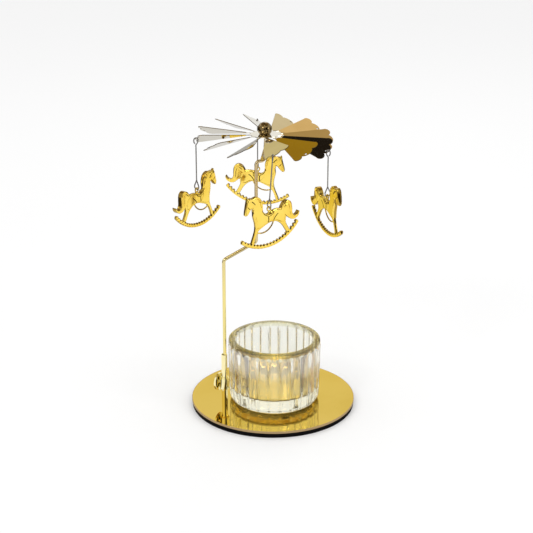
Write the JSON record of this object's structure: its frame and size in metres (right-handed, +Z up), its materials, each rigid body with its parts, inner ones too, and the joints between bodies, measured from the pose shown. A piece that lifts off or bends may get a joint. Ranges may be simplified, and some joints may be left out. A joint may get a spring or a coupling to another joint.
{
  "type": "rotary candle carousel",
  "caption": "Candle carousel: warm air from a tealight in a ribbed glass cup turns a scalloped bladed rotor on a bent needle stem, with rocking-horse pendants on wire hooks.",
  "frame": {"origin": "centre of the underside of the foot pad", "axes": "+Z up along the stem, +X to the right of the stem's side, -Y towards the front"},
  "size_m": [0.1082, 0.1019, 0.1777],
  "materials": {
    "plate_gold": "mirror polished",
    "pad_black": "felt",
    "screw_steel": "plain",
    "post_gold": "polished",
    "stem_gold": "polished",
    "rotor_gold": "mirror polished",
    "hub_gold": "polished",
    "wire_silver": "bright",
    "horse_gold": "polished",
    "glass_clear": "clear, moulded"
  },
  "bodies": {
    "stand": {"base_plate": "plate_gold", "base_pad": "pad_black", "fixing_screw": "screw_steel", "screw_washer": "screw_steel", "post_tube": "post_gold", "clamp_collar": "post_gold"},
    "thumb_screw": {"thumb_screw": "post_gold"},
    "stem": {"stem_rod": "stem_gold"},
    "rotor": {"rotor_blades": "rotor_gold", "hub_ball": "hub_gold", "bearing_cup": "hub_gold"},
    "hook_back": {"hook_wire_back": "wire_silver"},
    "horse_back": {"horse_back": "horse_gold"},
    "hook_left": {"hook_wire_left": "wire_silver"},
    "horse_left": {"horse_left": "horse_gold"},
    "hook_front": {"hook_wire_front": "wire_silver"},
    "horse_front": {"horse_front": "horse_gold"},
    "hook_right": {"hook_wire_right": "wire_silver"},
    "horse_right": {"horse_right": "horse_gold"},
    "cup": {"glass_cup": "glass_clear"}
  },
  "joints": [
    {"name": "thumb_screw_turn", "type": "hinge", "parent": "stand", "child": "thumb_screw", "pos_m": [-0.02954, -0.01034, 0.0175], "axis": [-0.866, 0.5, 0], "range_deg": [0, 360]},
    {"name": "stem_turn", "type": "hinge", "parent": "stand", "child": "stem", "pos_m": [-0.02922, -0.01053, 0.02], "axis": [0, 0, 1], "range_deg": [-75, 75]},
    {"name": "rotor_spin", "type": "hinge", "parent": "stem", "child": "rotor", "pos_m": [-0.005, 0, 0.1722], "axis": [0, 0, 1], "continuous": true},
    {"name": "hook_swing_back", "type": "hinge", "parent": "rotor", "child": "hook_back", "pos_m": [-0.00943, 0.03966, 0.16821], "axis": [0.9895, 0.1444, 0], "range_deg": [-15, 30]},
    {"name": "horse_rock_back", "type": "hinge", "parent": "hook_back", "child": "horse_back", "pos_m": [-0.00943, 0.03966, 0.13813], "axis": [-0.225, -0.9744, 0], "range_deg": [-30, 30]},
    {"name": "hook_swing_left", "type": "hinge", "parent": "rotor", "child": "hook_left", "pos_m": [-0.04466, -0.00443, 0.16821], "axis": [-0.1444, 0.9895, 0], "range_deg": [-15, 30]},
    {"name": "horse_rock_left", "type": "hinge", "parent": "hook_left", "child": "horse_left", "pos_m": [-0.04466, -0.00443, 0.13813], "axis": [0.788, -0.6157, 0], "range_deg": [-30, 30]},
    {"name": "hook_swing_front", "type": "hinge", "parent": "rotor", "child": "hook_front", "pos_m": [-0.00057, -0.03965, 0.16817], "axis": [-0.9895, -0.1444, 0], "range_deg": [-15, 30]},
    {"name": "horse_rock_front", "type": "hinge", "parent": "hook_front", "child": "horse_front", "pos_m": [-0.00262, -0.03995, 0.13816], "axis": [-0.5878, 0.809, 0], "range_deg": [-30, 30]},
    {"name": "hook_swing_right", "type": "hinge", "parent": "rotor", "child": "hook_right", "pos_m": [0.03111, -0.01581, 0.16417], "axis": [-0.3697, -0.9291, 0], "range_deg": [-15, 30]},
    {"name": "horse_rock_right", "type": "hinge", "parent": "hook_right", "child": "horse_right", "pos_m": [0.03111, -0.01581, 0.13759], "axis": [-0.9205, -0.3907, 0], "range_deg": [-30, 30]},
    {"name": "cup_lift", "type": "slide", "parent": "stand", "child": "cup", "axis": [0, 0, 1], "range_m": [0, 0.045]}
  ]
}
